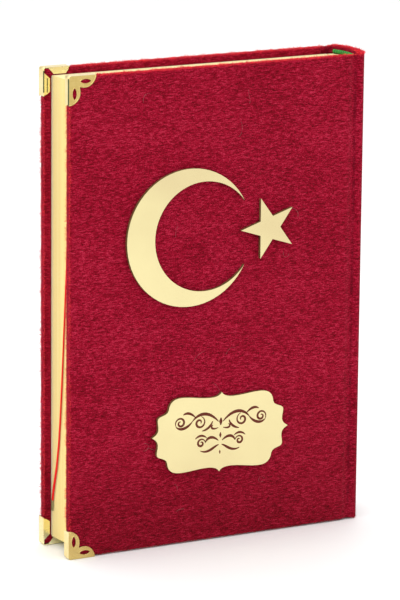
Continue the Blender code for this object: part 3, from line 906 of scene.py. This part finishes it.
def tube(path, radius, sides, closed=False):
    """Points and quads of a round tube along a path in millimetres; radius is one number or one per point."""
    path = np.array(path, float)
    count = len(path)
    radii = np.full(count, radius, float) if np.isscalar(radius) else np.array(radius, float)
    if closed:
        along = np.roll(path, -1, 0) - np.roll(path, 1, 0)
    else:
        along = np.gradient(path, axis=0)
    along /= np.linalg.norm(along, axis=1)[:, None]
    reference = np.array([0.0, 1.0, 0.0]) if np.abs(along[:, 1]).max() < 0.9 else np.array([0.0, 0.0, 1.0])
    side = np.cross(along, reference)
    side /= np.linalg.norm(side, axis=1)[:, None]
    other = np.cross(side, along)
    points, faces = [], []
    for i in range(count):
        for j in range(sides):
            a = 2 * math.pi * j / sides
            points.append(path[i] + (side[i] * math.cos(a) + other[i] * math.sin(a)) * radii[i])
    for i in range(count if closed else count - 1):
        n = (i + 1) % count
        for j in range(sides):
            k = (j + 1) % sides
            faces.append((i * sides + j, n * sides + j, n * sides + k, i * sides + k))
    if not closed:
        faces.append(tuple(range(sides))[::-1])
        faces.append(tuple(range((count - 1) * sides, count * sides)))
    return points, faces


class Batch:
    """Several shapes gathered into one mesh, in plan millimetres."""

    def __init__(self):
        self.points, self.faces, self.indices = [], [], []

    def add(self, shape, index=0):
        points, faces = shape
        start = len(self.points)
        self.points += [tuple(p) for p in points]
        self.faces += [tuple(start + k for k in face) for face in faces]
        self.indices += [index] * len(faces)

    def build(self, name, materials, smooth=True):
        points = [world(*p) for p in self.points]
        obj = add_mesh(name, points, self.faces, materials, smooth, self.indices)
        outward(obj)
        return obj


BAND_R = 23.08
BAND_BEAD = 0.86
BAND_HALF_DEG = 22.6
BAND_SIDES = 12
THREAD_PITCH = 0.27
THREAD_STEPS = 4
YELLOW_EVERY = 5


def worked_band(node):
    """Silk thread wound side by side over a cord along the curved back of the block."""
    low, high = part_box(node)
    z = (low.z + high.z) / 2 / MM
    length = math.radians(2 * BAND_HALF_DEG) * BAND_R
    steps = THREAD_STEPS * int(length / THREAD_PITCH)
    path, radii = [], []
    for i in range(steps + 1):
        a = math.radians(-BAND_HALF_DEG + 2 * BAND_HALF_DEG * i / steps)
        path.append((SPINE_CX + BAND_R * math.cos(a), MID_Y + BAND_R * math.sin(a), z))
        radii.append(BAND_BEAD - 0.13 + 0.12 * abs(math.sin(math.pi * i / THREAD_STEPS)))
    batch = Batch()
    batch.add(tube(path, radii, BAND_SIDES))
    for k in range(steps * BAND_SIDES):
        if k // BAND_SIDES // THREAD_STEPS % YELLOW_EVERY == 0:
            batch.indices[k] = 1
    obj = batch.build(node.replace("band", "_worked_band"), [GREEN_SILK, YELLOW_SILK])
    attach(obj, "block_and_spine")
    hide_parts(node)


# Brass cap rims -----------------------------------------------------------

RIM_R = 0.16
FOLD_R = 0.9
FOLD_SHEET = 0.22
FOLD_CENTRE = 0.95
FOLD_STEPS = 6
SLOT_MIDDLE = (7.3, 2.35)
SLOT_HALF = (2.55, 1.12)
SLOT_STEPS = 20


def cap_outline():
    """The two-lobed edge of a cap's face, from the end of one leg to the end of the other."""
    lobe = [(11.75, 0.25), (11.6, 1.1), (11.05, 2.25), (10.2, 3.35)]
    lobe += [(9.1, 4.15), (7.8, 4.65), (6.4, 4.7), (5.3, 4.55)]
    return lobe + [(4.55, 4.55)] + [(b, a) for a, b in reversed(lobe)]


def slot_outline(turned):
    """One almond-shaped slot of a cap, along either leg."""
    points = []
    for i in range(SLOT_STEPS):
        a = 2 * math.pi * i / SLOT_STEPS
        u = SLOT_MIDDLE[0] + math.cos(a) * SLOT_HALF[0]
        v = SLOT_MIDDLE[1] + math.sin(a) * abs(math.sin(a)) ** 0.4 * SLOT_HALF[1]
        points.append((v, u) if turned else (u, v))
    return points


def corner_fold(low, high, base, sign):
    """The curved bit of metal that joins the wraps of the two legs round the cover's corner."""
    points, faces = [], []
    steps = FOLD_STEPS
    for i in range(steps + 1):
        a = math.radians(90) * i / steps
        for r in (FOLD_R, FOLD_R - FOLD_SHEET):
            x = low[0] + FOLD_CENTRE - r * math.cos(a)
            z = base + sign * (FOLD_CENTRE - r * math.sin(a))
            points += [(x, low[1] + 0.06, z), (x, high[1] - 0.06, z)]
    for i in range(steps):
        m, n = 4 * i, 4 * i + 4
        for j, k in ((0, 1), (1, 3), (3, 2), (2, 0)):
            faces.append((m + j, m + k, n + k, n + j))
    faces += [(0, 1, 3, 2), (4 * steps, 4 * steps + 2, 4 * steps + 3, 4 * steps + 1)]
    return points, faces


def cap_rims(side, end):
    """Raised beads along a cap's lobes and round its two slots."""
    node = f"{side}_corner_{end}"
    low, high = (plan(corner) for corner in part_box(node))
    y = low[1] if side == "front" else high[1]
    base, sign = (HEIGHT, -1) if end == "head" else (0.0, 1)

    def lift(points):
        return [(low[0] + a, y, base + sign * b) for a, b in points]

    batch = Batch()
    batch.add(tube(lift(cap_outline()), RIM_R, 6))
    batch.add(tube(lift(slot_outline(False)), RIM_R, 6, closed=True))
    batch.add(tube(lift(slot_outline(True)), RIM_R, 6, closed=True))
    batch.add(corner_fold(low, high, base, sign))
    obj = batch.build(f"{side}_{end}_cap_rims", [BRASS if side == "front" else BRASS_BRIGHT_REFLECTION])
    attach(obj, side + "_cover")


FOLD_LINE = 0.55
# Painted shade in the front head cap's fold:
# Depth below the head and half width
FOLD_SHADE_BAND = [(11.9, 0.3), (11.4, 0.62), (6.0, 0.62), (1.6, 0.62), (1.1, 0.3)]
FOLD_BAND_Y = 0.75
FOLD_BAND_FLAT = 0.12
# Painted dark reflection: the back head cap's two lines on its flap
FLAP_REFLECTION_LINES = ((0.14, 1.4), (1.7, 4.4))  # distance from the fore-edge and top of the back cap's two lines


def painted_fold_shade_lines():
    """Dark strips of painted shade and painted dark reflection in the fold between the face and the fore-edge
    flap of the two head caps.
    """
    for side in ("front", "back"):
        low, high = (plan(corner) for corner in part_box(side + "_corner_head"))
        batch = Batch()
        if side == "front":
            path = [(low[0], low[1] + FOLD_BAND_Y, high[2] - z) for z, _ in FOLD_SHADE_BAND]
            points, faces = tube(path, [half for _, half in FOLD_SHADE_BAND], 10)
            flat = [(low[0] + (p[0] - low[0]) * FOLD_BAND_FLAT, p[1], p[2]) for p in points]
            batch.add((flat, faces))
        else:
            for inset, top in FLAP_REFLECTION_LINES:
                path = [(low[0] + inset, low[1] + 0.1, high[2] - z) for z in (top, 6.0, 10.2)]
                batch.add(tube(path, FOLD_LINE / 2, 6))
        obj = batch.build(side + "_cap_fold_shade_line", [PAINTED_FOLD_SHADE])
        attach(obj, side + "_cover")


# Mirror ornaments ---------------------------------------------------------


BEVEL_MM = 0.09


def bevelled_plaque(node):
    """The ornament with its cut edges eased."""
    source = frame["nodes"][node]
    mesh = source.data.copy()
    mesh.materials.clear()
    mesh.materials.append(MIRROR)
    obj = bpy.data.objects.new(node + "_plaque", mesh)
    bpy.context.scene.collection.objects.link(obj)
    work = bmesh.new()
    work.from_mesh(mesh)
    bmesh.ops.remove_doubles(work, verts=work.verts, dist=1e-6)
    bmesh.ops.dissolve_limit(work, angle_limit=math.radians(0.5), verts=work.verts, edges=work.edges)
    work.to_mesh(mesh)
    work.free()
    mesh.shade_flat()
    bevel = obj.modifiers.new("eased", "BEVEL")
    bevel.width = BEVEL_MM * MM
    bevel.segments = 2
    bevel.limit_method = "ANGLE"
    bevel.angle_limit = math.radians(50)
    bake_modifiers(obj)
    obj.data.shade_flat()
    obj.data.materials.append(CUT_EDGE)
    for polygon in obj.data.polygons:
        polygon.material_index = 1 if abs(polygon.normal.y) < 0.5 else 0
    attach(obj, "front_cover")
    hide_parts(node)
    return obj


def spiral(centre, start_r, end_r, start_deg, turn_deg, steps=26):
    points = []
    for i in range(steps + 1):
        t = i / steps
        r = start_r + (end_r - start_r) * t
        a = math.radians(start_deg + turn_deg * t)
        points.append((centre[0] + r * math.cos(a), centre[1] + r * math.sin(a)))
    return points


def bezier(p0, p1, p2, p3, steps=20):
    points = []
    for i in range(steps + 1):
        t = i / steps
        w = ((1 - t) ** 3, 3 * t * (1 - t) ** 2, 3 * t * t * (1 - t), t**3)
        points.append(tuple(sum(k * p[d] for k, p in zip(w, (p0, p1, p2, p3))) for d in (0, 1)))
    return points


def stroke(points, wide, place):
    """A flat engraved stroke that swells in its middle and thins to its ends."""
    points = np.array(points)
    along = np.gradient(points, axis=0)
    along /= np.linalg.norm(along, axis=1)[:, None]
    side = np.stack([-along[:, 1], along[:, 0]], 1)
    share = np.linspace(0, 1, len(points))
    half = wide / 2 * (0.25 + 0.75 * np.sin(math.pi * share) ** 0.8)
    left, right = points + side * half[:, None], points - side * half[:, None]
    count = len(points)
    made = [place(*p, 0.0) for p in left] + [place(*p, 0.0) for p in right]
    made += [place(*p, 1.0) for p in left] + [place(*p, 1.0) for p in right]
    faces = []
    for i in range(count - 1):
        l0, l1, r0, r1 = i, i + 1, count + i, count + i + 1
        top = 2 * count
        faces += [
            (l0 + top, l1 + top, r1 + top, r0 + top),
            (l0, r0, r1, l1),
            (l0, l1, l1 + top, l0 + top),
            (r0, r0 + top, r1 + top, r1),
        ]
    last = count - 1
    top = 2 * count
    faces += [(0, top, count + top, count), (last, count + last, count + last + top, last + top)]
    return made, faces


FLOURISH_SCALE = 1.07
STROKE_SCALE = 1.5
PLATE_TURN = math.radians(-1.6)


def flourish(plate_box):
    """A mirrored scroll ornament in two tiers, filled with dark brown."""
    low, high = (plan(corner) for corner in plate_box)
    centre = ((low[0] + high[0]) / 2, (low[2] + high[2]) / 2)
    turn = PLATE_TURN
    face_y = low[1]

    def place(u, v, height):
        u, v = u * FLOURISH_SCALE, v * FLOURISH_SCALE
        return (
            centre[0] + u * math.cos(turn) - v * math.sin(turn),
            face_y + 0.02 - 0.05 * height,
            centre[1] + u * math.sin(turn) + v * math.cos(turn),
        )

    upper = [
        (bezier((1.0, 4.2), (5.0, 8.6), (9.5, 8.8), (12.5, 5.2)), 0.85),
        (bezier((12.5, 5.2), (14.5, 2.6), (17.8, 1.6), (19.6, 3.6)), 0.75),
        (spiral((17.7, 4.9), 2.3, 0.5, -34, 500), 0.6),
        (spiral((9.3, 4.4), 2.5, 0.5, 105, 470), 0.6),
        (bezier((11.2, 6.6), (13.2, 8.8), (15.4, 9.0), (16.6, 8.0)), 0.7),
        (bezier((3.6, 4.6), (4.2, 2.6), (6.0, 1.2), (8.2, 1.0)), 0.65),
        (bezier((1.0, 1.8), (3.6, 0.9), (4.8, 2.0), (3.4, 3.1)), 0.55),
    ]
    lower = [
        (bezier((0.8, -3.4), (3.2, -1.2), (5.6, -1.4), (6.6, -3.8)), 0.75),
        (spiral((8.4, -3.9), 1.9, 0.4, 178, -480), 0.6),
        (bezier((0.6, -5.0), (2.6, -5.4), (5.0, -8.6), (8.6, -6.9)), 0.7),
        (bezier((6.0, -1.9), (7.6, -0.4), (9.6, -0.6), (11.0, -2.0)), 0.6),
    ]
    batch = Batch()
    for points, wide in upper + lower:
        batch.add(stroke(points, wide * STROKE_SCALE, place))
        batch.add(stroke([(-u, v) for u, v in points], wide * STROKE_SCALE, place))
    for v, size in ((4.2, 1.0), (-1.2, 0.7), (-8.0, 0.5)):
        drop = [(0.0, v - 1.5 * size), (0.0, v), (0.0, v + 1.5 * size)]
        batch.add(stroke(drop, 1.5 * size, place))
    obj = batch.build("plate_flourish", [ENGRAVING], smooth=False)
    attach(obj, "front_cover")


# Ribbon -------------------------------------------------------------------

RIBBON_WIDE = 1.8
RIBBON_HALF_THICK = 0.11
RIBBON_OFF_PAGES = 0.45
RIBBON_CURL = [(14.0, 0.85), (28.0, 0.85), (40.0, 0.6), (90.0, 0.42)]  # height, share of the width
RIBBON_CURL += [(142.0, 0.5), (150.0, 1.0), (200.0, 1.0)]
RIBBON_FALL = [  # depth and height down the fore-edge
    (9.0, 128.0),
    (10.8, 110.0),
    (12.4, 92.0),
    (14.2, 70.0),
    (15.7, 54.0),
    (17.0, 43.0),
    (18.6, 34.0),
    (20.2, 27.5),
    (21.3, 23.0),
    (21.9, 19.0),
    (22.0, 14.8),
]
RIBBON_SECTION = [(-1, 0), (-0.94, 1), (-0.3, 1.25), (0.3, 1.25), (0.94, 1)]
RIBBON_SECTION += [(1, 0), (0.94, -1), (0.3, -0.8), (-0.3, -0.8), (-0.94, -1)]
RIBBON_STEPS = 150
SQUARE = 3.4
FORE_SAG = 0.6


def fore_x(y):
    """Where the slightly hollow fore-edge lies at one depth."""
    reach = (y - MID_Y) / (MID_Y - COVER - 0.3)
    return SQUARE + FORE_SAG * (1 - reach * reach)


def ribbon_stations():
    """Centre points of the ribbon with the direction of its width, from the spine to its tip."""
    slot_y = plan(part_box("section_02")[1])[1] + 0.275
    level = (-0.35, 0.0, 0.94)
    out = [
        ((134.2, slot_y, 190.5), level),
        ((90.0, slot_y, 174.0), level),
        ((40.0, slot_y, 155.3), level),
        ((6.0, slot_y, 142.6), level),
        ((4.2, slot_y, 141.8), level),
        ((3.1, slot_y, 140.8), (-0.62, 0.0, 0.78)),
        ((2.6, slot_y, 139.2), (-0.95, 0.0, 0.30)),
        ((2.5, slot_y + 0.15, 137.2), (-0.95, -0.30, 0.0)),
        ((2.7, slot_y + 1.0, 135.0), (-0.62, -0.78, 0.0)),
        ((2.9, slot_y + 2.4, 132.0), (-0.25, -0.97, 0.0)),
    ]
    for y, z in RIBBON_FALL:
        out.append(((fore_x(y) - RIBBON_OFF_PAGES, y, z), (0.0, -1.0, 0.0)))
    return out


def ribbon():
    stations = ribbon_stations()
    centres = np.array([s[0] for s in stations])
    widths = np.array([s[1] for s in stations])
    lengths = np.r_[0, np.cumsum(np.linalg.norm(np.diff(centres, axis=0), axis=1))]
    at = np.unique(np.r_[np.linspace(0, lengths[-1], RIBBON_STEPS), lengths])
    path = np.stack([np.interp(at, lengths, centres[:, k]) for k in range(3)], 1)
    wide = np.stack([np.interp(at, lengths, widths[:, k]) for k in range(3)], 1)
    along = np.gradient(path, axis=0)
    along /= np.linalg.norm(along, axis=1)[:, None]
    wide -= along * (wide * along).sum(1)[:, None]
    wide /= np.linalg.norm(wide, axis=1)[:, None]
    normal = np.cross(along, wide)
    points = []
    curl = np.interp(path[:, 2], [k[0] for k in RIBBON_CURL], [k[1] for k in RIBBON_CURL])
    for centre, across, out, share in zip(path, wide, normal, curl):
        half, thick = share * RIBBON_WIDE / 2, RIBBON_HALF_THICK / share**0.5
        for u, v in RIBBON_SECTION:
            points.append(centre + across * u * half + out * v * thick)
    sides = len(RIBBON_SECTION)
    faces = []
    for i in range(len(path) - 1):
        for j in range(sides):
            k = (j + 1) % sides
            faces.append((i * sides + j, (i + 1) * sides + j, (i + 1) * sides + k, i * sides + k))
    faces.append(tuple(range(sides))[::-1])
    faces.append(tuple(range((len(path) - 1) * sides, len(path) * sides)))
    obj = add_mesh("ribbon", [world(*p) for p in points], faces, [RIBBON])
    outward(obj)
    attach(obj, "block_and_spine")
    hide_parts("ribbon_bookmark")


def repaint(nodes, made):
    for name in nodes:
        obj = frame["nodes"][name]
        obj.data.materials.clear()
        obj.data.materials.append(made)


camera()
studio()
floor()
velvet_case()
text_block()
worked_band("headband")
worked_band("tailband")
for side in ("front", "back"):
    for end in ("head", "tail"):
        cap_rims(side, end)
painted_fold_shade_lines()
for ornament in ("crescent", "star", "name_plate"):
    bevelled_plaque(ornament)
flourish(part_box("name_plate"))
ribbon()
repaint(["front_board", "back_board", "spine_board"], BOARD)
repaint(["spine_lining"], MULL)
repaint(["front_pastedown", "back_pastedown", "front_flyleaf", "back_flyleaf"], ENDPAPER)
repaint(["front_corner_head", "front_corner_tail"], BRASS)
repaint(["back_corner_head", "back_corner_tail"], BRASS_BRIGHT_REFLECTION)
